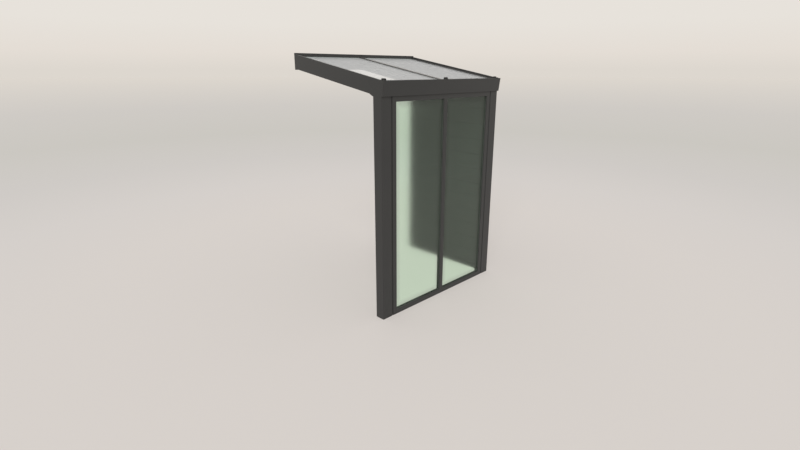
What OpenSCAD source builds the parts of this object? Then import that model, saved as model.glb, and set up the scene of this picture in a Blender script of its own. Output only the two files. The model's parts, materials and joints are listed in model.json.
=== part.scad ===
// Lean-to patio roof in powder coated aluminium: two front posts, a box gutter,
// three rafters and two roof panes, with fixed glazing in front and a closed
// right side wall. The left side is open and the back is fixed to a house wall.
// Millimetres. +X to the right along the front, +Y to the house, +Z up.
// The origin is at the middle of the footprint, on the ground.

/* [Overall size] */
// Width over the outer faces of the side rafters
width = 2000; // [1600:10:2600]
// Depth from the lip of the gutter to the house wall
depth = 1520; // [1300:10:1900]
// Clear height under the gutter
clear_height = 2465; // [2200:5:2600]
// Fall of the roof towards the gutter, in degrees
pitch = 10.4; // [7:0.1:13]

/* [Posts] */
// Width of a post along the front
post_w = 135; // [110:5:150]
// Depth of a post
post_d = 120; // [110:2:125]
// Wall thickness of the posts
post_wall = 3.5; // [2.5:0.5:5]
// Thickness of the foot plate inside each post
foot_t = 10; // [6:1:15]

/* [Gutter] */
// Height of the gutter front
gutter_h = 155; // [145:1:158]
// How far the lip of the gutter stands out in front of the posts
gutter_out = 40; // [30:1:45]
// How far the gutter front leans out between its foot and its lip
gutter_lean = 20; // [8:1:25]
// Depth of the gutter behind the post fronts
gutter_back = 175; // [165:1:185]
// Wall thickness of the gutter
gutter_wall = 3; // [2.5:0.5:4]

/* [Rafters] */
// Width of the side rafters
side_rafter_w = 80; // [75:1:95]
// Width of the middle rafter
mid_rafter_w = 60; // [50:1:70]
// Height of the rafters, square to the roof
rafter_h = 122; // [118:1:128]
// Height of the nose that carries the glass over the gutter
nose_h = 28; // [24:1:36]
// Wall thickness of the rafters
rafter_wall = 3; // [2.5:0.5:4]
// Width of the outer upstand of the side rafters
upstand_w = 18; // [14:1:20]
// Height of the outer upstand over the glass
upstand_over = 26; // [18:1:30]
// Width of the cover strip and the end cap on the middle rafter
cover_w = 60; // [50:1:62]
// Width of the cover strips on the side rafters
side_cover_w = 46; // [40:1:52]
// Thickness of the cover strips
cover_t = 8; // [6:1:10]

/* [Roof glass] */
// Thickness of the roof panes
roof_glass_t = 10; // [8:1:12]
// Thickness of the rubber seals under the panes
seal_t = 3; // [2:0.5:4]

/* [Wall profile] */
// Depth of the wall profile under the glass
wall_d = 70; // [60:1:100]
// Depth of the flange of the wall profile over the glass
wall_flange_d = 18; // [16:1:24]
// Height of the wall flange above the glass
wall_over = 40; // [36:1:60]
// Wall thickness of the wall profile
wall_t = 4; // [3:0.5:5]

/* [Front glazing] */
// Face width of the glazing frame
frame_w = 56; // [50:1:64]
// Depth of the glazing frame
frame_d = 50; // [46:1:60]
// Width of the black joint between a post and the glazing frame
joint_w = 20; // [14:1:24]
// How far the front panes sit behind the face of the frame
glass_set = 17; // [15:1:20]
// Thickness of the front panes
front_glass_t = 10; // [8:1:12]

/* [Side wall] */
// Thickness of the side wall frame
side_t = 45; // [40:1:60]
// Face width of the side wall frame
side_w = 56; // [50:1:64]
// Thickness of the hollow infill boards
board_t = 25; // [20:1:30]
// Height of one infill board
board_h = 200; // [150:10:250]
// Height of the middle rail above the ground, to its underside
mid_rail_z = 1180; // [900:10:1400]

/* [Hidden] */

$fn = 48;

// Colours
anthracite = [0.265, 0.265, 0.257];
black = [0.10, 0.10, 0.10];
milk = [0.86, 0.87, 0.85, 0.8];
satin = [0.74, 0.84, 0.75, 0.6];

// Planes across the depth
front_y = -depth / 2 + gutter_out;      // face of the posts and the glazing
back_y = depth / 2;                     // plane of the house wall
gutter_y = front_y + gutter_back;       // back of the gutter, where the rafters start
wall_y = back_y - wall_d;               // front of the wall profile, under the glass
flange_y = back_y - wall_flange_d;      // front of its flange, over the glass

// Gutter section
chamfer_in = 50;                        // the chamfer under the back of the gutter
chamfer_up = 26;
lip_w = 15;                             // the turned-in lip along the front
flange_w = 18;                          // the sloped flange that carries the glass
rafter_z = clear_height + chamfer_up;   // underside of the rafters at the gutter
lip_z = clear_height + gutter_h;

// Heights square to the roof, from the underside of the rafters
glass_n = rafter_h + seal_t;
glass_top_n = glass_n + roof_glass_t;
upstand_n = glass_top_n + upstand_over;
cover_n = glass_top_n + cover_t;
nose_n = rafter_h - nose_h;

// The roof glass
glass_front_y = front_y + 20;           // lower edge of the panes
glass_back_y = flange_y - 2;            // upper edge, against the flange of the wall profile
pane_gap = 12;                          // between the two panes, over the middle rafter
cover_x = upstand_w + 2;                // outer edge of a side cover strip, from the end
pane_x = cover_x + 6;                   // outer edge of the panes, from the end

// The front glazing
groove = 12;                            // depth of the groove that holds a pane
gasket_t = 3;
half = width / 2;
stile_x = half - post_w - joint_w;      // outer faces of the stiles
opening_x = stile_x - frame_w;          // inner faces of the stiles
mullion_half = frame_w / 2 + 1;         // the mullion is 2 mm wider than the other bars

// The side wall
side_front_y = front_y + post_d;
side_rear_y = back_y - side_w;
side_wall = 2.5;

// Fixing holes
bolt_r = 5.5;
foot_hole_x = 80;
foot_hole_y = 70;
wall_bolt_outer = 1800;
wall_bolt_inner = 600;

// Height of the plane that is n above the rafters' underside, at depth y
function roof_z(y, n) = rafter_z + (y - gutter_y) * tan(pitch) + n / cos(pitch);

wall_low_z = roof_z(wall_y, 0);
wall_top_z = roof_z(flange_y, glass_top_n) + wall_over;
wall_lip_h = 10;                        // edge of the wall profile, seen over its cover

// ---- ways of placing a section ----

// Extrudes a section drawn as [y, z] from x0 to x1
module along_x(x0, x1) {
    translate([x0, 0, 0]) rotate([90, 0, 90]) linear_extrude(x1 - x0) children();
}

// Extrudes a section drawn as [x, z] from y0 to y1
module along_y(y0, y1) {
    translate([0, y1, 0]) rotate([90, 0, 0]) linear_extrude(y1 - y0) children();
}

// Extrudes a section drawn as [x, n] up the roof and cuts it square at y0 and y1
module up_roof(y0, y1) {
    intersection() {
        translate([0, gutter_y, rafter_z]) rotate([pitch, 0, 0])
            translate([0, 2 * depth, 0]) rotate([90, 0, 0]) linear_extrude(3 * depth) children();
        translate([-width, y0, 0]) cube([2 * width, y1 - y0, 2 * clear_height]);
    }
}

module rect(x0, x1, y0, y1) {
    translate([x0, y0]) square([x1 - x0, y1 - y0]);
}

// A rectangle with round corners of radius r
module round_rect(w, d, r) {
    rect(-w / 2 + r, w / 2 - r, -d / 2, d / 2);
    rect(-w / 2, w / 2, -d / 2 + r, d / 2 - r);
    for (x = [-1, 1], y = [-1, 1])
        translate([x * (w / 2 - r), y * (d / 2 - r)]) circle(r);
}

module mirror_right() {
    mirror([1, 0, 0]) children();
}

// ---- posts ----

module post(x) {
    color(anthracite)
    translate([x, front_y + post_d / 2, 0]) linear_extrude(clear_height)
        difference() {
            round_rect(post_w, post_d, 5);
            round_rect(post_w - 2 * post_wall, post_d - 2 * post_wall, 2);
        }
}
module post_left() post(-half + post_w / 2);
module post_right() post(half - post_w / 2);

// Plate inside the foot of a post, bolted down before the post is set over it
module foot_plate(x) {
    color("silver")
    translate([x, front_y + post_d / 2, 0]) difference() {
        linear_extrude(foot_t)
            round_rect(post_w - 2 * post_wall, post_d - 2 * post_wall, 2);
        for (i = [-1, 1], j = [-1, 1])
            translate([i * foot_hole_x / 2, j * foot_hole_y / 2, -1])
                cylinder(r = bolt_r, h = foot_t + 2);
    }
}
module foot_plate_left() foot_plate(-half + post_w / 2);
module foot_plate_right() foot_plate(half - post_w / 2);

// ---- gutter ----

lip_front_y = front_y - gutter_out;
foot_front_y = lip_front_y + gutter_lean;
chamfer_y = gutter_y - chamfer_in;
flange_z = roof_z(gutter_y, rafter_h);

// Open trough of one wall thickness, with the lip and the flange turned in
module gutter_section() {
    t = gutter_wall;
    flange_y0 = gutter_y - flange_w;
    polygon([
        [foot_front_y, clear_height], [chamfer_y, clear_height], [gutter_y, rafter_z],
        [gutter_y, flange_z], [flange_y0, roof_z(flange_y0, rafter_h)],
        [flange_y0, roof_z(flange_y0, rafter_h - t)], [gutter_y - t, roof_z(gutter_y - t, rafter_h - t)],
        [gutter_y - t, rafter_z + t / 2], [chamfer_y - t / 3, clear_height + t],
        [foot_front_y + t, clear_height + t], [lip_front_y + t, lip_z - t],
        [lip_front_y + lip_w, lip_z - t], [lip_front_y + lip_w, lip_z], [lip_front_y, lip_z]
    ]);
}

// The back of the gutter is notched where the noses of the rafters pass over it
module gutter() {
    color(anthracite)
    difference() {
        along_x(-half + gutter_wall, half - gutter_wall) gutter_section();
        up_roof(gutter_y - 60, gutter_y + 1) {
            rect(-half, -half + side_rafter_w, nose_n, rafter_h + 10);
            rect(half - side_rafter_w, half, nose_n, rafter_h + 10);
            rect(-mid_rafter_w / 2, mid_rafter_w / 2, nose_n, rafter_h + 10);
        }
    }
}

// End plate: closes the trough and carries on up to the top of the side rafter
module gutter_end_left() {
    color(anthracite)
    along_x(-half, -half + gutter_wall)
        polygon([
            [foot_front_y, clear_height], [chamfer_y, clear_height], [gutter_y, rafter_z],
            [gutter_y, roof_z(gutter_y, upstand_n)],
            [glass_front_y, roof_z(glass_front_y, upstand_n)],
            [front_y, roof_z(glass_front_y, upstand_n)],
            [front_y - 14, lip_z], [lip_front_y, lip_z]
        ]);
}
module gutter_end_right() mirror_right() gutter_end_left();

// Rubber strip on the flange, under the panes
module gutter_seal() {
    color(black)
    for (side = [-1, 1])
        up_roof(gutter_y - flange_w, gutter_y)
            if (side < 0) rect(-half + side_rafter_w, -mid_rafter_w / 2, rafter_h, glass_n);
            else rect(mid_rafter_w / 2, half - side_rafter_w, rafter_h, glass_n);
}

// ---- rafters ----

// Takes away the lower part of a rafter in front of the gutter back
module nose_notch() {
    intersection() {
        translate([0, gutter_y, rafter_z]) rotate([pitch, 0, 0])
            translate([-width, -depth, -clear_height]) cube([2 * width, 2 * depth, clear_height + nose_n]);
        translate([-width, -depth, 0]) cube([2 * width, depth + gutter_y, 2 * clear_height]);
    }
}

// Two-chamber box section from x0 to x1, the upper chamber running on as the nose
module rafter_box(x0, x1) {
    t = rafter_wall;
    difference() {
        rect(x0, x1, 0, rafter_h);
        rect(x0 + t, x1 - t, t, nose_n);
        rect(x0 + t, x1 - t, nose_n + t, rafter_h - t);
    }
}

module rafter_left() {
    t = rafter_wall;
    color(anthracite)
    difference() {
        union() {
            up_roof(glass_front_y, wall_y) rafter_box(-half, -half + side_rafter_w);
            up_roof(glass_front_y, flange_y)
                difference() {
                    rect(-half, -half + upstand_w, rafter_h, upstand_n);
                    rect(-half + t, -half + upstand_w - t, rafter_h + t, upstand_n - t);
                }
        }
        nose_notch();
        // room for the end plates of the gutter and of the wall profile
        for (y = [gutter_y - depth, wall_y])
            translate([-half - 1, y, 0]) cube([1 + gutter_wall, depth, 2 * clear_height]);
    }
}
module rafter_right() mirror_right() rafter_left();

module rafter_middle() {
    color(anthracite)
    difference() {
        up_roof(glass_front_y, wall_y) rafter_box(-mid_rafter_w / 2, mid_rafter_w / 2);
        nose_notch();
    }
}

// Rubber strips between the rafters and the panes
module rafter_seal_left() {
    color(black)
    up_roof(glass_front_y, wall_y)
        rect(-half + pane_x, -half + side_rafter_w, rafter_h, glass_n);
}
module rafter_seal_right() mirror_right() rafter_seal_left();
module rafter_seal_middle() {
    color(black)
    up_roof(glass_front_y, wall_y)
        rect(-mid_rafter_w / 2, mid_rafter_w / 2, rafter_h, glass_n);
}

// ---- roof glass ----

module roof_glass_left() {
    color(milk)
    up_roof(glass_front_y, glass_back_y)
        rect(-half + pane_x, -pane_gap / 2, glass_n, glass_top_n);
}
module roof_glass_right() mirror_right() roof_glass_left();

// ---- cover strips and end caps ----

module cover_section(x0, x1) {
    rect(x0, x1, glass_top_n, cover_n - 2);
    rect(x0 + 2, x1 - 2, cover_n - 2, cover_n);
}

module cover_strip_left() {
    color(anthracite)
    up_roof(glass_front_y, flange_y) cover_section(-half + cover_x, -half + cover_x + side_cover_w);
}
module cover_strip_right() mirror_right() cover_strip_left();
module cover_strip_middle() {
    color(anthracite)
    up_roof(glass_front_y, flange_y) cover_section(-cover_w / 2, cover_w / 2);
}

// Black cap over the end of a rafter, which also keeps the glass from sliding
cap_t = 14;
cap_x = 50;         // centre of a side cap, from the end
cap_over = 40;      // above the glass
cap_r = 12;
module end_cap(x) {
    color(black)
    up_roof(glass_front_y - cap_t, glass_front_y)
        translate([x, 0]) {
            rect(-cover_w / 2, cover_w / 2, nose_n, glass_top_n + cap_over - cap_r);
            rect(-cover_w / 2 + cap_r, cover_w / 2 - cap_r, nose_n, glass_top_n + cap_over);
            for (i = [-1, 1])
                translate([i * (cover_w / 2 - cap_r), glass_top_n + cap_over - cap_r]) circle(cap_r);
        }
}
module end_cap_left() end_cap(-half + cap_x);
module end_cap_middle() end_cap(0);
module end_cap_right() end_cap(half - cap_x);

// ---- wall profile ----

// Closed chamber under the glass, and behind its edge a flange with a channel that the cover closes
module wall_section() {
    t = wall_t;
    chamber_z = roof_z(wall_y, rafter_h) - t;
    difference() {
        polygon([
            [wall_y, wall_low_z], [back_y, wall_low_z], [back_y, wall_top_z], [flange_y, wall_top_z],
            [flange_y, roof_z(flange_y, rafter_h)], [wall_y, roof_z(wall_y, rafter_h)]
        ]);
        rect(wall_y + t, back_y - t, wall_low_z + t, chamber_z);
        rect(flange_y - 1, back_y - t, roof_z(flange_y, glass_top_n), wall_top_z - wall_lip_h);
    }
}

wall_bolt_z = wall_top_z - 25;
module wall_profile() {
    color(anthracite)
    difference() {
        along_x(-half + gutter_wall, half - gutter_wall) wall_section();
        for (x = [wall_bolt_outer / 2, wall_bolt_inner / 2], side = [-1, 1])
            translate([side * x, back_y - wall_t - 1, wall_bolt_z]) rotate([-90, 0, 0])
                cylinder(r = bolt_r, h = wall_t + 2);
    }
}

// Plates that close the two ends of the wall profile
module wall_end_left() {
    color(anthracite)
    along_x(-half, -half + gutter_wall)
        polygon([
            [wall_y, wall_low_z], [back_y, wall_low_z], [back_y, wall_top_z], [flange_y, wall_top_z],
            [flange_y, roof_z(flange_y, upstand_n)], [wall_y, roof_z(wall_y, upstand_n)]
        ]);
}
module wall_end_right() mirror_right() wall_end_left();

// Cover clipped to the front of the wall profile, over the fixing screws
module wall_cover() {
    color(anthracite)
    along_x(-half + gutter_wall, half - gutter_wall)
        rect(flange_y, flange_y + 3, roof_z(flange_y, glass_top_n), wall_top_z - wall_lip_h);
}

// Rubber under the upper edge of the panes, and a bead of sealant over the gap behind them
module wall_seal() {
    bead = 1.5;
    color(black)
    for (side = [0, 1]) mirror([side, 0, 0]) {
        up_roof(wall_y, glass_back_y)
            rect(-half + pane_x, -pane_gap / 2, rafter_h, glass_n);
        along_x(-half + cover_x + side_cover_w, -cover_w / 2)
            polygon([
                [glass_back_y, roof_z(glass_back_y, glass_top_n)],
                [flange_y, roof_z(flange_y, glass_top_n)],
                [flange_y, roof_z(flange_y, glass_top_n) + bead]
            ]);
    }
}

// ---- front glazing ----

groove_y0 = front_y + glass_set - gasket_t;
groove_y1 = front_y + glass_set + front_glass_t + gasket_t;

// Section of a frame bar with its glazing groove on the high side, drawn as [across, depth]
module bar_section(w) {
    t = rafter_wall;
    difference() {
        rect(0, w, front_y, front_y + frame_d);
        rect(t, w - groove - t, front_y + t, front_y + frame_d - t);
        rect(w - groove, w + 1, groove_y0, groove_y1);
    }
}

module front_stile_left() {
    color(anthracite)
    translate([-stile_x, 0, 0]) linear_extrude(clear_height) bar_section(frame_w);
}
module front_stile_right() mirror_right() front_stile_left();

module front_mullion() {
    t = rafter_wall;
    color(anthracite)
    translate([0, 0, frame_w]) linear_extrude(clear_height - 2 * frame_w)
        difference() {
            rect(-mullion_half, mullion_half, front_y, front_y + frame_d);
            rect(-mullion_half + groove + t, mullion_half - groove - t, front_y + t, front_y + frame_d - t);
            for (side = [0, 1]) mirror([side, 0])
                rect(mullion_half - groove, mullion_half + 1, groove_y0, groove_y1);
        }
}

module front_bottom_rail() {
    color(anthracite)
    along_x(-opening_x, opening_x)
        rotate([0, 0, 90]) mirror([0, 1]) bar_section(frame_w);
}
module front_top_rail() {
    color(anthracite)
    translate([0, 0, clear_height]) mirror([0, 0, 1]) front_bottom_rail();
}

// Recessed black joint between a post and the glazing frame
module joint_seal_left() {
    color(black)
    translate([-half + post_w, front_y + 6, 0]) cube([joint_w, frame_d - 12, clear_height]);
}
module joint_seal_right() mirror_right() joint_seal_left();

module front_glass_left() {
    color(satin)
    translate([-opening_x - groove + 2, front_y + glass_set, frame_w - groove + 2])
        cube([
            opening_x - mullion_half + 2 * groove - 4, front_glass_t,
            clear_height - 2 * (frame_w - groove + 2)
        ]);
}
module front_glass_right() mirror_right() front_glass_left();

// Two rubber rings in the groove, in front of and behind the pane
module glass_gasket_left() {
    lip = 1.5;      // seen beyond the frame
    color(black)
    for (y = [groove_y0, groove_y1 - gasket_t])
        translate([0, y, 0]) rotate([90, 0, 0]) mirror([0, 0, 1]) linear_extrude(gasket_t)
            difference() {
                rect(
                    -opening_x - groove, -mullion_half + groove,
                    frame_w - groove, clear_height - frame_w + groove
                );
                rect(
                    -opening_x + lip, -mullion_half - lip,
                    frame_w + lip, clear_height - frame_w - lip
                );
            }
}
module glass_gasket_right() mirror_right() glass_gasket_left();

// ---- side wall ----

side_x = half - side_t;

// Box section of a side wall bar, drawn as [x, z]
module side_bar(z0, h) {
    difference() {
        rect(side_x, half, z0, z0 + h);
        rect(side_x + side_wall, half - side_wall, z0 + side_wall, z0 + h - side_wall);
    }
}

module side_bottom_rail() {
    color(anthracite) along_y(gutter_y, side_rear_y) side_bar(0, side_w);
}
module side_mid_rail() {
    color(anthracite) along_y(gutter_y, side_rear_y) side_bar(mid_rail_z, side_w);
}

// Sloped head bar under the side rafter
head_h = side_w;
module side_top_rail() {
    color(anthracite)
    up_roof(gutter_y, wall_y)
        translate([0, -head_h]) side_bar(0, head_h);
}

// Front stile, cut to the chamfer under the gutter
module side_stile_front() {
    t = side_wall;
    color(anthracite)
    difference() {
        along_x(side_x, half)
            polygon([
                [side_front_y, 0], [gutter_y, 0], [gutter_y, rafter_z],
                [chamfer_y, clear_height], [side_front_y, clear_height]
            ]);
        along_x(side_x + t, half - t)
            rect(side_front_y + t, gutter_y - t, -1, clear_height - t);
    }
}

// Rear stile against the house wall, up to the wall profile
module side_stile_rear() {
    t = side_wall;
    color(anthracite)
    difference() {
        along_x(side_x, half)
            polygon([
                [side_rear_y, 0], [back_y, 0], [back_y, wall_low_z],
                [wall_y, wall_low_z], [wall_y, roof_z(wall_y, -head_h)],
                [side_rear_y, roof_z(wall_y, -head_h)]
            ]);
        along_x(side_x + t, half - t)
            rect(side_rear_y + t, back_y - t, -1, wall_low_z - t);
    }
}

// Stack of hollow boards seated in the middle of the frame, from z0 up to the given outline
board_skin = 2;
module side_panel(z0, corners) {
    x0 = side_x + (side_t - board_t) / 2;
    boards = ceil((wall_low_z - z0) / board_h);
    color(anthracite)
    difference() {
        along_x(x0, x0 + board_t) polygon(corners);
        for (i = [0 : boards - 1])
            along_y(gutter_y - 1, side_rear_y + 1)
                rect(
                    x0 + board_skin, x0 + board_t - board_skin,
                    z0 + i * board_h + board_skin, z0 + (i + 1) * board_h - board_skin
                );
    }
}
module side_panel_lower() {
    side_panel(side_w, [
        [gutter_y, side_w], [side_rear_y, side_w],
        [side_rear_y, mid_rail_z], [gutter_y, mid_rail_z]
    ]);
}
module side_panel_upper() {
    z0 = mid_rail_z + side_w;
    side_panel(z0, [
        [gutter_y, z0], [side_rear_y, z0], [side_rear_y, roof_z(wall_y, -head_h)],
        [wall_y, roof_z(wall_y, -head_h)], [gutter_y, roof_z(gutter_y, -head_h)]
    ]);
}

post_left();
post_right();
foot_plate_left();
foot_plate_right();
gutter();
gutter_end_left();
gutter_end_right();
wall_profile();
wall_cover();
wall_end_left();
wall_end_right();
wall_seal();
rafter_left();
rafter_middle();
rafter_right();
rafter_seal_left();
rafter_seal_middle();
rafter_seal_right();
gutter_seal();
roof_glass_left();
roof_glass_right();
cover_strip_left();
cover_strip_middle();
cover_strip_right();
end_cap_left();
end_cap_middle();
end_cap_right();
front_bottom_rail();
front_top_rail();
front_stile_left();
front_stile_right();
front_mullion();
joint_seal_left();
joint_seal_right();
front_glass_left();
front_glass_right();
glass_gasket_left();
glass_gasket_right();
side_bottom_rail();
side_mid_rail();
side_top_rail();
side_stile_front();
side_stile_rear();
side_panel_lower();
side_panel_upper();
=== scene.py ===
import json
import math

import bmesh
import bpy
from mathutils import Matrix, Vector


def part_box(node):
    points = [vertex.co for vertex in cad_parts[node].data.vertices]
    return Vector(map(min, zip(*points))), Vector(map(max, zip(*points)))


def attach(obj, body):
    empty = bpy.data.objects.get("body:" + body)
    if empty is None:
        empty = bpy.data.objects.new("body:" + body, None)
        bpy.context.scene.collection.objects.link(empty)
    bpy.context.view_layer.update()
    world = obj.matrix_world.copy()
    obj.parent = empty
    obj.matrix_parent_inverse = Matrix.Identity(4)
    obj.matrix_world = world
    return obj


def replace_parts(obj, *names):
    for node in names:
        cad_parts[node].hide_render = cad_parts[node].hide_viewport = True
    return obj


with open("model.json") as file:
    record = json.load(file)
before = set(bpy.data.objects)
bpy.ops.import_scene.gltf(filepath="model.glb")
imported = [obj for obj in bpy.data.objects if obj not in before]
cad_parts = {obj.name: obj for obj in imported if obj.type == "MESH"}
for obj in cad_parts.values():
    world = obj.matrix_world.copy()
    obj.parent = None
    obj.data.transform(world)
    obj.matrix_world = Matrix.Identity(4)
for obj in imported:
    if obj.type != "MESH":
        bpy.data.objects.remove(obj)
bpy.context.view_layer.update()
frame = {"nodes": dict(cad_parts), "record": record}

# ---------------------------------------------------------------- camera
# A view from the front left corner, a little above the gutter, that looks down
# at the roof through a wide lens whose upright angle is 50 degrees.
FRAME_WIDE, FRAME_TALL = 800, 450
post_left_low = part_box("post_left")[0]
camera_data = bpy.data.cameras.new("camera")
camera_data.sensor_width = 36
camera_data.lens = 36 * (FRAME_TALL / 2) / math.tan(math.radians(25)) / FRAME_WIDE
camera_data.clip_end = 1000
camera = bpy.data.objects.new("camera", camera_data)
camera.location = (post_left_low.x - 3.342, post_left_low.y - 3.606, 2.723)
camera.rotation_euler = (math.radians(90 - 17.88), 0, math.radians(-45))
bpy.context.scene.collection.objects.link(camera)
bpy.context.scene.camera = camera
bpy.context.scene.view_settings.view_transform = "Standard"


# ---------------------------------------------------------------- floor, backdrop and light
# A plain pale floor that runs out to a backdrop of its own tone with no line between
# them. The light is the even light of the backdrop, with one broad soft sun from the
# front left that throws a faint shadow behind the roof.
def display(red, green, blue):
    """A colour given as 0-255 display values, as the linear colour that Blender wants."""
    def linear(value):
        value /= 255
        return value / 12.92 if value <= 0.04045 else ((value + 0.055) / 1.055) ** 2.4
    return (linear(red), linear(green), linear(blue), 1.0)


def feed(tree, node, inputs):
    """Sets a node's inputs. Each is a plain value or the socket that feeds it."""
    for socket, value in inputs.items():
        if isinstance(value, bpy.types.NodeSocket):
            tree.links.new(value, node.inputs[socket])
        else:
            node.inputs[socket].default_value = value


def add_node(tree, kind, inputs=None, **settings):
    node = tree.nodes.new("ShaderNode" + kind)
    for setting, value in settings.items():
        setattr(node, setting, value)
    feed(tree, node, inputs or {})
    return node


def calculate(tree, operation, first, second=0.0):
    return add_node(tree, "Math", {0: first, 1: second}, operation=operation).outputs[0]


def tone_ramp(tree, position, stops):
    """A colour ramp through stops of (position, colour)."""
    node = add_node(tree, "ValToRGB", {"Fac": position})
    ramp = node.color_ramp
    while len(ramp.elements) < len(stops):
        ramp.elements.new(0.5)
    for element, (place, color) in zip(ramp.elements, stops):
        element.position = place
        element.color = color
    return node.outputs["Color"]


def new_material(name):
    material = bpy.data.materials.new(name)
    material.use_nodes = True
    material.node_tree.nodes.clear()
    return material, material.node_tree


def add_object(name, data):
    piece = bpy.data.objects.new(name, data)
    bpy.context.scene.collection.objects.link(piece)
    return piece


HORIZON = display(221, 215, 207)
FLOOR_RADIUS = 200.0
HALF_WAY = 20.0     # distance at which the floor's ramp is half way
EVENED = 0.5        # how much of the shade on the floor is evened out where it is looked at
THROUGH_GLASS = 0.9     # and where it is seen through glass


def looked_at(tree):
    """1 where a surface is seen by the camera, in a gloss or through glass, 0 where it gives light."""
    path = add_node(tree, "LightPath").outputs
    mirrored = calculate(tree, "MAXIMUM", path["Is Glossy Ray"], path["Is Transmission Ray"])
    return calculate(tree, "MAXIMUM", path["Is Camera Ray"], mirrored)


def floor_finish():
    """Matt floor, lightest round the object, that takes the backdrop's tone far away."""
    material, tree = new_material("studio_floor")
    place = add_node(tree, "TexCoord").outputs["Object"]
    distance = add_node(tree, "VectorMath", {0: place}, operation="LENGTH").outputs["Value"]
    position = calculate(tree, "DIVIDE", distance, calculate(tree, "ADD", distance, HALF_WAY))
    color = tone_ramp(tree, position, [
        (0.17, display(216, 210, 205)), (0.25, display(213, 208, 204)), (0.34, display(207, 203, 199)),
        (0.46, display(203, 200, 194)), (0.63, display(207, 203, 198)), (0.90, HORIZON),
    ])
    lit = add_node(tree, "BsdfDiffuse", {"Color": color})
    even = add_node(tree, "Emission", {"Color": color, "Strength": 1.0})
    path = add_node(tree, "LightPath").outputs
    through = calculate(tree, "MULTIPLY", path["Is Transmission Ray"], THROUGH_GLASS)
    evened = calculate(tree, "MAXIMUM", calculate(tree, "MULTIPLY", looked_at(tree), EVENED), through)
    shader = add_node(tree, "MixShader", {0: evened, 1: lit.outputs[0], 2: even.outputs[0]})
    add_node(tree, "OutputMaterial", {"Surface": shader.outputs[0]})
    return material


floor_shape = bmesh.new()
bmesh.ops.create_circle(floor_shape, cap_ends=True, segments=128, radius=FLOOR_RADIUS)
floor_mesh = bpy.data.meshes.new("floor")
floor_shape.to_mesh(floor_mesh)
floor_shape.free()
floor_mesh.materials.append(floor_finish())
add_object("floor", floor_mesh)


def studio_world():
    """Shows the backdrop where it is looked at or mirrored, and lights evenly elsewhere."""
    world = bpy.data.worlds.new("studio")
    world.use_nodes = True
    tree = world.node_tree
    tree.nodes.clear()
    direction = add_node(tree, "TexCoord").outputs["Generated"]
    height = add_node(tree, "SeparateXYZ", {0: direction}).outputs["Z"]
    backdrop = tone_ramp(tree, height, [
        (0.0, HORIZON), (0.03, display(228, 221, 213)), (0.08, display(231, 226, 219)),
        (0.3, display(232, 227, 221)),
    ])
    picture = add_node(tree, "Background", {"Color": backdrop, "Strength": 1.0})
    light = add_node(tree, "Background", {"Color": (1.0, 0.99, 0.98, 1), "Strength": 0.74})
    both = add_node(tree, "MixShader", {0: looked_at(tree), 1: light.outputs[0], 2: picture.outputs[0]})
    add_node(tree, "OutputWorld", {"Surface": both.outputs[0]})
    return world


bpy.context.scene.world = studio_world()

sun_data = bpy.data.lights.new("soft_sun", "SUN")
sun_data.energy = 1.7
sun_data.angle = math.radians(30)
sun = add_object("soft_sun", sun_data)
sun.rotation_euler = Vector((0.70, 0.54, -0.48)).to_track_quat("-Z", "Y").to_euler()


# ---------------------------------------------------------------- posts
# Two square posts of extruded aluminium with rounded corners, powder coated in a fine
# matt anthracite. Each stands over a zinc plated steel plate that is bolted to the ground.
def new_group(name, inputs, outputs):
    """An empty shader node group: inputs and outputs are (name, socket kind) pairs."""
    group = bpy.data.node_groups.new(name, "ShaderNodeTree")
    for direction, sockets in (("INPUT", inputs), ("OUTPUT", outputs)):
        for socket, kind in sockets:
            group.interface.new_socket(name=socket, in_out=direction, socket_type="NodeSocket" + kind)
    return group, group.nodes.new("NodeGroupInput").outputs, group.nodes.new("NodeGroupOutput").inputs


def add_group(tree, group, inputs):
    """Places a node group in a material with its own values."""
    node = add_node(tree, "Group", node_tree=group)
    feed(tree, node, inputs)
    return node


def grain_group():
    """Fine grain of a sprayed or moulded skin, and the slow change of tone along it."""
    group, given, out = new_group(
        "surface_grain", [("Place", "Vector"), ("Grain Scale", "Float"), ("Patch Scale", "Float")],
        [("Grain", "Float"), ("Patches", "Float")])
    for output, scale, detail in (("Grain", "Grain Scale", 3.0), ("Patches", "Patch Scale", 5.0)):
        noise = add_node(group, "TexNoise", {
            "Vector": given["Place"], "Scale": given[scale], "Detail": detail})
        group.links.new(noise.outputs["Fac"], out[output])
    return group


def dust_group():
    """Where fine dust settles: on faces that look up, in soft patches."""
    group, given, out = new_group(
        "settled_dust", [("Place", "Vector"), ("Amount", "Float")], [("Dust", "Float")])
    normal = add_node(group, "NewGeometry").outputs["Normal"]
    upward = calculate(group, "MAXIMUM", add_node(group, "SeparateXYZ", {0: normal}).outputs["Z"], 0.0)
    patches = add_node(group, "TexNoise", {
        "Vector": given["Place"], "Scale": 9.0, "Detail": 6.0}).outputs["Fac"]
    dust = calculate(group, "MULTIPLY", calculate(group, "MULTIPLY", upward, patches), given["Amount"])
    group.links.new(dust, out["Dust"])
    return group


surface_grain = grain_group()
settled_dust = dust_group()
DUST = display(150, 146, 138)


def blended(tree, factor, first, second):
    """A colour between first and second."""
    return add_node(tree, "Mix", {0: factor, 6: first, 7: second}, data_type="RGBA").outputs[2]


def between(tree, value, low, high):
    """Spreads a 0-1 value over low to high."""
    return add_node(tree, "MapRange", {"Value": value, "To Min": low, "To Max": high}).outputs["Result"]


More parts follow.
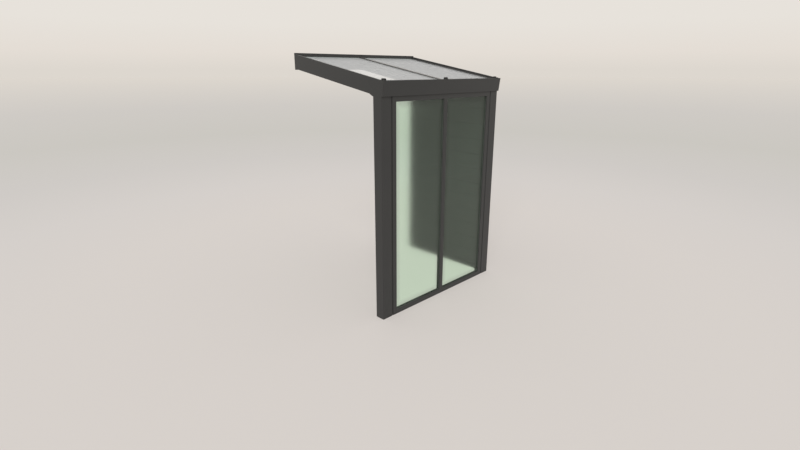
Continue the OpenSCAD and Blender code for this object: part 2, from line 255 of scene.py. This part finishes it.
def skin(name, dark, light, roughness, grain_scale, depth, dust, **sockets):
    """A painted, moulded or plated skin: two close tones in patches, grain and a little dust."""
    material, tree = new_material(name)
    place = add_node(tree, "TexCoord").outputs["Object"]
    grain = add_group(tree, surface_grain, {"Place": place, "Grain Scale": grain_scale, "Patch Scale": 2.5})
    settled = add_group(tree, settled_dust, {"Place": place, "Amount": dust})
    color = blended(tree, grain.outputs["Patches"], dark, light)
    color = blended(tree, settled.outputs["Dust"], color, DUST)
    rough = between(tree, grain.outputs["Patches"], roughness - 0.05, roughness + 0.05)
    bump = add_node(tree, "Bump", {"Height": grain.outputs["Grain"], "Distance": depth, "Strength": 0.6})
    shader = add_node(tree, "BsdfPrincipled", {
        "Base Color": color, "Roughness": rough, "Normal": bump.outputs[0], **sockets})
    add_node(tree, "OutputMaterial", {"Surface": shader.outputs[0]})
    return material


powder_coat = skin("anthracite_powder_coat", display(46, 46, 46), display(51, 51, 50), 0.38, 900.0, 0.0001,
                   0.10, **{"Specular IOR Level": 0.4})
zinc = skin("zinc_plating", display(150, 152, 155), display(176, 178, 180), 0.38, 300.0, 0.00005,
            0.0, Metallic=1.0)
slot_of = {part["node"]: part["material_slot"] for part in frame["record"]["subparts"]}


def dress(node, material):
    """Gives a CAD piece that already has its right shape its finish."""
    for slot in frame["nodes"][node].material_slots:
        slot.material = material


SIDES = ("left", "right")
for side in SIDES:
    dress("post_" + side, powder_coat)
    dress("foot_plate_" + side, zinc)


# ---------------------------------------------------------------- gutter
# An extruded aluminium trough with a leaning front, closed by a plate at each end that is
# sealed from the inside. A strainer of black plastic stands on its floor over the right
# post, where the water leaves.
WELD = 0.00001
SHARP = math.radians(30)


def add_piece(name, shape, slot, *materials):
    """Makes a shape a piece of the roof, with outward faces and its materials."""
    bmesh.ops.recalc_face_normals(shape, faces=shape.faces)
    mesh = bpy.data.meshes.new(name)
    shape.to_mesh(mesh)
    shape.free()
    for material in materials:
        mesh.materials.append(material)
    piece = add_object(name, mesh)
    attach(piece, "root")
    return piece


def merged_copy(node):
    """A CAD piece's mesh as one skin with whole faces."""
    shape = bmesh.new()
    shape.from_mesh(frame["nodes"][node].data)
    bmesh.ops.remove_doubles(shape, verts=shape.verts, dist=WELD)
    bmesh.ops.dissolve_limit(shape, angle_limit=math.radians(1), verts=shape.verts, edges=shape.edges)
    return shape


def round_edges(shape, radius, segments=2, edges=None, shortest=None):
    """Rounds the given edges of a shape, or else its outward ones longer than shortest."""
    if edges is None:
        shortest = 2 * radius if shortest is None else shortest
        edges = [edge for edge in shape.edges
                 if edge.is_manifold and edge.is_convex and edge.calc_face_angle() > SHARP
                 and edge.calc_length() > shortest]
    bmesh.ops.bevel(shape, geom=edges, offset=radius, segments=segments, profile=0.5,
                    affect="EDGES", material=-1, clamp_overlap=True)


def show_rounded(node, radius, *materials, segments=2, shortest=None):
    """Shows a copy of a CAD piece with its outer edges rounded in its place."""
    shape = merged_copy(node)
    round_edges(shape, radius, segments, shortest=shortest)
    piece = add_piece(node + "_rounded", shape, slot_of[node], *materials)
    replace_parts(piece, node)
    return piece


def join(shape, other):
    """Adds the faces of another shape, and frees it."""
    mesh = bpy.data.meshes.new("joined")
    other.to_mesh(mesh)
    other.free()
    shape.from_mesh(mesh)
    bpy.data.meshes.remove(mesh)


def add_block(shape, low, high, radius=0.0):
    """Adds a box from corner to corner to a shape, with its edges rounded if there is a radius."""
    size = Vector(high) - Vector(low)
    middle = (Vector(high) + Vector(low)) / 2
    block = bmesh.new()
    stretch = Matrix.Translation(middle) @ Matrix.Diagonal((*size, 1))
    bmesh.ops.create_cube(block, size=1, matrix=stretch)
    if radius:
        round_edges(block, radius, edges=list(block.edges))
    join(shape, block)


show_rounded("gutter", 0.0012, powder_coat)
black_rubber = skin("black_rubber", display(26, 26, 26), display(32, 32, 32), 0.70, 500.0, 0.0001, 0.12)
dress("gutter_seal", black_rubber)

GUTTER_WALL = 0.003
BEAD_OF_SEALANT = 0.004
gutter_low, gutter_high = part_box("gutter")
trough_floor = gutter_low.z + GUTTER_WALL
sealant = bmesh.new()
for side, sign in zip(SIDES, (-1, 1)):
    show_rounded("gutter_end_" + side, 0.0008, powder_coat)
    inner_x = sign * (gutter_high.x - 0.003)
    x0, x1 = sorted((inner_x, inner_x - sign * BEAD_OF_SEALANT))
    add_block(sealant, (x0, gutter_low.y + 0.024, trough_floor),
              (x1, gutter_high.y - 0.056, trough_floor + BEAD_OF_SEALANT), 0.0015)
add_piece("gutter_sealant", sealant, "black_rubber", black_rubber)

black_plastic = skin("black_plastic", display(22, 22, 22), display(28, 28, 28), 0.45, 700.0, 0.0001, 0.05)
OUTLET_R = 0.036
RIBS = 10
RIM = 0.003             # thickness of the strainer's flat rim
DOME = 1.1              # height of its dome for each unit of radius
outlet = Vector((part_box("post_right")[0].x + 0.067, (gutter_low.y + gutter_high.y) / 2 + 0.004,
                 trough_floor))
strainer = bmesh.new()
bmesh.ops.create_cone(strainer, cap_ends=True, segments=40, radius1=OUTLET_R + 0.008,
                      radius2=OUTLET_R + 0.005, depth=RIM,
                      matrix=Matrix.Translation(outlet + Vector((0, 0, RIM / 2))))
for turn in range(RIBS):
    rib = bmesh.new()
    bmesh.ops.create_circle(rib, segments=6, radius=0.0016, matrix=Matrix.Translation((OUTLET_R, 0, 0)))
    bmesh.ops.spin(rib, geom=rib.verts[:] + rib.edges[:], cent=(0, 0, 0), axis=(0, -1, 0),
                   angle=math.radians(80), steps=10)
    bmesh.ops.holes_fill(rib, edges=rib.edges)
    bmesh.ops.transform(rib, verts=rib.verts, matrix=Matrix.Translation(outlet + Vector((0, 0, RIM)))
                        @ Matrix.Rotation(math.tau * turn / RIBS, 4, "Z") @ Matrix.Diagonal((1, 1, DOME, 1)))
    join(strainer, rib)
bmesh.ops.create_uvsphere(strainer, u_segments=20, v_segments=10, radius=0.008,
                          matrix=Matrix.Translation(outlet + Vector((0, 0, RIM + DOME * OUTLET_R))))
add_piece("outlet_strainer", strainer, "black_plastic", black_plastic)


# ---------------------------------------------------------------- rafters
# Two-chamber aluminium box sections, the outer two with an upstand along the roof's edge.
# Each is screwed through the back of the gutter and carries a strip of black rubber.
ALONG_BAR = 0.3         # only the edges of an extrusion that run along it are longer
SCREW_RECESS = 0.00035
NOSE_SCREWS_APART = 0.032
steel = skin("screw_steel", display(168, 170, 172), display(188, 190, 192), 0.30, 200.0, 0.00002,
             0.0, Metallic=1.0)


def add_screw(shape, place, outward, radius, height):
    """Adds a screw head with a round recess, seated at place and looking outward."""
    outward = Vector(outward)
    stand = Matrix.Translation(place) @ outward.to_track_quat("Z", "Y").to_matrix().to_4x4()
    head = bmesh.new()
    bmesh.ops.create_cone(head, cap_ends=True, segments=24, radius1=radius, radius2=0.82 * radius,
                          depth=height, matrix=stand @ Matrix.Translation((0, 0, height / 2)))
    head.normal_update()
    top = [face for face in head.faces if face.normal.dot(outward) > 0.99]
    bmesh.ops.inset_region(head, faces=top, thickness=0.42 * radius)
    bmesh.ops.inset_region(head, faces=top, thickness=0.05 * radius, depth=-SCREW_RECESS)
    join(shape, head)


screws = bmesh.new()
for side in SIDES + ("middle",):
    show_rounded("rafter_" + side, 0.001, powder_coat, shortest=ALONG_BAR)
    dress("rafter_seal_" + side, black_rubber)
    rafter_low, rafter_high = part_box("rafter_" + side)
    centre_x = (rafter_low.x + rafter_high.x) / 2
    for x in (centre_x - NOSE_SCREWS_APART / 2, centre_x + NOSE_SCREWS_APART / 2):
        for z in (gutter_low.z + 0.042, gutter_low.z + 0.082):
            add_screw(screws, (x, gutter_high.y - GUTTER_WALL, z), (0, -1, 0), 0.006, 0.003)


# ---------------------------------------------------------------- wall profile
# The aluminium profile bolted to the house: a closed chamber that the rafters butt
# against, and behind the upper edge of the panes a channel that a cover strip closes.
show_rounded("wall_profile", 0.001, powder_coat)
show_rounded("wall_cover", 0.0008, powder_coat)
dress("wall_seal", black_rubber)
for side in SIDES:
    show_rounded("wall_end_" + side, 0.0008, powder_coat)


# ---------------------------------------------------------------- roof panes
# Two panes of laminated safety glass with a milky interlayer, laid on the rubber strips.
# Their edges are ground and arrissed and show the green of the glass.
def milk_finish():
    """Milky glass: half of the light comes from its own white body, the rest from behind."""
    material, tree = new_material("milk_glass")
    place = add_node(tree, "TexCoord").outputs["Object"]
    grain = add_group(tree, surface_grain, {"Place": place, "Grain Scale": 60.0, "Patch Scale": 1.8})
    settled = add_group(tree, settled_dust, {"Place": place, "Amount": 0.05})
    color = blended(tree, grain.outputs["Patches"], display(229, 230, 230), display(233, 234, 234))
    color = blended(tree, settled.outputs["Dust"], color, DUST)
    rough = between(tree, grain.outputs["Patches"], 0.30, 0.40)
    shader = add_node(tree, "BsdfPrincipled", {
        "Base Color": color, "Roughness": rough, "Alpha": 0.42, "Specular IOR Level": 0.1})
    add_node(tree, "OutputMaterial", {"Surface": shader.outputs[0]})
    return material


milk_glass = milk_finish()
ground_edge = skin("ground_glass_edge", display(128, 150, 140), display(140, 162, 150), 0.35, 400.0,
                   0.00005, 0.05)
pane_faces = frame["nodes"]["roof_glass_left"].data.polygons
roof_normal = max(pane_faces, key=lambda face: face.area).normal.copy()
if roof_normal.z < 0:
    roof_normal.negate()
for side in SIDES:
    pane = show_rounded("roof_glass_" + side, 0.001, milk_glass, ground_edge)
    for face in pane.data.polygons:
        if abs(face.normal.dot(roof_normal)) < 0.5:
            face.material_index = 1


# ---------------------------------------------------------------- cover strips and end caps
# Crowned aluminium strips clamp the panes onto the rafters, each between two lips of
# black rubber that take up its outer 3.5 mm on each side. A moulded black cap closes the
# lower end and stops the glass sliding.
pane_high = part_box("roof_glass_left")[1]
roof_up = Vector((0, roof_normal.z, -roof_normal.y))
on_roof = Matrix.Translation((0, pane_high.y, pane_high.z)) @ Matrix((
    (1, 0, 0, 0), (0, roof_up.y, roof_normal.y, 0), (0, roof_up.z, roof_normal.z, 0), (0, 0, 0, 1)))
COVER_CROWN = 0.0035
# The strips' coat is a little lighter than the frame's anthracite: painted light for their crowned tops,
# which catch the light from above; its lower roughness makes them gloss more
lit_smooth_coat = skin("lit_smooth_powder_coat", display(50, 50, 50), display(56, 56, 55), 0.24, 900.0, 0.00005, 0.12)
LIP = 0.0035            # width of a rubber lip
LIP_UP = 0.0022


def cut_off(shape, point, outward):
    """Cuts a closed shape at a plane, drops what lies beyond it and closes the cut."""
    bmesh.ops.bisect_plane(shape, geom=shape.verts[:] + shape.edges[:] + shape.faces[:], dist=WELD,
                           plane_co=point, plane_no=outward, clear_outer=True)
    bmesh.ops.holes_fill(shape, edges=[edge for edge in shape.edges if edge.is_boundary])


def roof_strip(x0, x1, thickness, crown, front, back):
    """A bar on the panes whose two upper edges are rounded, cut upright at both ends."""
    strip = bmesh.new()
    reach = (front - pane_high.y) * 1.1
    add_block(strip, (x0, reach, 0), (x1, 0.1, thickness))
    ridge = [edge for edge in strip.edges
             if all(vert.co.z > thickness / 2 for vert in edge.verts)
             and abs(edge.verts[0].co.y - edge.verts[1].co.y) > 1]
    round_edges(strip, crown, segments=4, edges=ridge)
    bmesh.ops.transform(strip, matrix=on_roof, verts=strip.verts)
    cut_off(strip, (0, front, 0), (0, -1, 0))
    cut_off(strip, (0, back, 0), (0, 1, 0))
    return strip


for side in SIDES + ("middle",):
    cover = "cover_strip_" + side
    cover_low, cover_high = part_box(cover)
    # The strip's height square to the roof, from its upright height over its whole length
    rise = (cover_high.y - cover_low.y) * roof_up.z / roof_up.y
    thickness = (cover_high.z - cover_low.z - rise) * roof_normal.z
    strip = roof_strip(cover_low.x + LIP, cover_high.x - LIP, thickness, COVER_CROWN,
                       cover_low.y, cover_high.y)
    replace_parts(add_piece(cover + "_crowned", strip, slot_of[cover], lit_smooth_coat), cover)
    lips = roof_strip(cover_low.x, cover_low.x + LIP, LIP_UP, 0.0015, cover_low.y, cover_high.y)
    join(lips, roof_strip(cover_high.x - LIP, cover_high.x, LIP_UP, 0.0015, cover_low.y, cover_high.y))
    add_piece("cover_lips_" + side, lips, "black_rubber", black_rubber)
    show_rounded("end_cap_" + side, 0.002, black_plastic, segments=3, shortest=0)


# ---------------------------------------------------------------- front glazing frame
# Butt-jointed aluminium bars round two fixed panes. Glazing beads are clipped in along the
# inside of each pane, and a dark rubber joint closes the gap to each post.
for bar in ("front_bottom_rail", "front_top_rail", "front_stile_left", "front_stile_right", "front_mullion"):
    show_rounded(bar, 0.0009, powder_coat)
joint_rubber = skin("joint_rubber", display(38, 38, 38), display(44, 44, 43), 0.60, 500.0, 0.0001, 0.05)
for side in SIDES:
    dress("joint_seal_" + side, joint_rubber)

BEAD_W = 0.020
BEAD_T = 0.002
BEAD_GAP = 0.0003       # open joint between two beads
rail_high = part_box("front_bottom_rail")[1]
top_rail_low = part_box("front_top_rail")[0]
mullion_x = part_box("front_mullion")[1].x
beads = bmesh.new()
for sign in (-1, 1):
    x0, x1 = sorted((sign * mullion_x, sign * rail_high.x))
    z0, z1 = rail_high.z, top_rail_low.z
    y0, y1 = rail_high.y, rail_high.y + BEAD_T
    for z in (z0 - BEAD_W, z1):
        add_block(beads, (x0 - BEAD_W, y0, z), (x1 + BEAD_W, y1, z + BEAD_W), 0.0007)
    for x in (x0 - BEAD_W, x1):
        add_block(beads, (x, y0, z0 + BEAD_GAP), (x + BEAD_W, y1, z1 - BEAD_GAP), 0.0007)
add_piece("glazing_beads", beads, "anthracite_aluminium", powder_coat)


# ---------------------------------------------------------------- front panes
# Two tall panes of satin glass, etched so that they blur what stands behind them, each
# held in the groove of the frame between two dark grey rubber gaskets.
PAINTED_EDGE_SHADE = 0.085      # width of the band of painted shade along the edges of a pane, darkest at the frame
sight_x = (mullion_x, rail_high.x)
sight_z = (rail_high.z, top_rail_low.z)


def satin_finish():
    """Glass etched on its faces: it blurs what stands behind it and lets light through. Its colour is darker
    over a band along the pane's edges: painted shade from the frame.
    """
    material, tree = new_material("satin_glass")
    place = add_node(tree, "TexCoord").outputs["Object"]
    across = add_node(tree, "SeparateXYZ", {0: place}).outputs
    from_middle = calculate(tree, "ABSOLUTE", across["X"])
    edge = None
    for value, (low, high) in ((from_middle, sight_x), (across["Z"], sight_z)):
        inward = calculate(tree, "MINIMUM", calculate(tree, "SUBTRACT", value, low),
                           calculate(tree, "SUBTRACT", high, value))
        edge = inward if edge is None else calculate(tree, "MINIMUM", edge, inward)
    # Painted shade: 0 at a pane's edge, rising to 1 a band's width in, so the glass's colour darkens next to
    # the frame
    outside_painted_shade = add_node(tree, "MapRange", {"Value": edge, "From Max": PAINTED_EDGE_SHADE}).outputs["Result"]
    color = blended(tree, outside_painted_shade, (0.62, 0.74, 0.64, 1), (0.80, 1.0, 0.83, 1))
    grain = add_group(tree, surface_grain, {"Place": place, "Grain Scale": 300.0, "Patch Scale": 2.0})
    rough = between(tree, grain.outputs["Patches"], 0.13, 0.17)
    etched = add_node(tree, "BsdfPrincipled", {
        "Base Color": color, "Roughness": rough, "Transmission Weight": 1.0, "IOR": 1.33})
    clear = add_node(tree, "BsdfTransparent", {"Color": (0.86, 0.92, 0.87, 1)})
    path = add_node(tree, "LightPath").outputs
    lamp_side = calculate(tree, "MAXIMUM", path["Is Shadow Ray"], path["Is Diffuse Ray"])
    shader = add_node(tree, "MixShader", {0: lamp_side, 1: etched.outputs[0], 2: clear.outputs[0]})
    add_node(tree, "OutputMaterial", {"Surface": shader.outputs[0]})
    return material


satin_glass = satin_finish()
grey_rubber = skin("grey_rubber", display(78, 80, 77), display(84, 86, 83), 0.65, 500.0, 0.0001, 0.05)
for side in SIDES:
    show_rounded("front_glass_" + side, 0.001, satin_glass)
    show_rounded("glass_gasket_" + side, 0.0006, grey_rubber)


# ---------------------------------------------------------------- side wall
# A frame of aluminium box section on the right, filled above and below its middle rail
# with tongued boards whose edges leave a fine V joint on both faces.
for bar in ("bottom_rail", "mid_rail", "top_rail", "stile_front", "stile_rear"):
    show_rounded("side_" + bar, 0.001, powder_coat)

BOARD = 0.200
BOARD_GAP = 0.0006      # open joint at the bottom of each V
V_JOINT = 0.003
TONGUE = 0.008
roof_point = Vector((0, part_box("side_top_rail")[1].y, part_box("side_panel_upper")[1].z))
for level in ("lower", "upper"):
    panel = "side_panel_" + level
    panel_low, panel_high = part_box(panel)
    middle_x = (panel_low.x + panel_high.x) / 2
    boards = bmesh.new()
    bottom = panel_low.z
    while bottom < panel_high.z - WELD:
        top = min(bottom + BOARD, panel_high.z)
        is_last = top > panel_high.z - TONGUE
        board_top = top if is_last else top - BOARD_GAP
        board = bmesh.new()
        add_block(board, (panel_low.x, panel_low.y, bottom), (panel_high.x, panel_high.y, board_top))
        long_edges = [edge for edge in board.edges if abs(edge.verts[0].co.y - edge.verts[1].co.y) > 1]
        round_edges(board, V_JOINT, segments=1, edges=long_edges)
        tongue = bmesh.new()
        if not is_last:
            add_block(tongue, (middle_x - TONGUE / 2, panel_low.y + BOARD_GAP, top - TONGUE / 2),
                      (middle_x + TONGUE / 2, panel_high.y - BOARD_GAP, top + TONGUE / 2))
        for piece in (board, tongue):
            if level == "upper":
                cut_off(piece, roof_point, roof_normal)
            join(boards, piece)
        bottom = top
    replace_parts(add_piece(panel + "_boards", boards, slot_of[panel], powder_coat), panel)

FRAME_SCREW_HEIGHTS = (0.30, 1.05, 2.10)
stile_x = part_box("side_stile_front")[0].x
for stile in ("side_stile_front", "side_stile_rear"):
    stile_low, stile_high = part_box(stile)
    centre_y = (stile_low.y + stile_high.y) / 2
    for z in FRAME_SCREW_HEIGHTS:
        add_screw(screws, (stile_x, centre_y, z), (-1, 0, 0), 0.005, 0.002)
add_piece("frame_screws", screws, "galvanised_steel", steel)
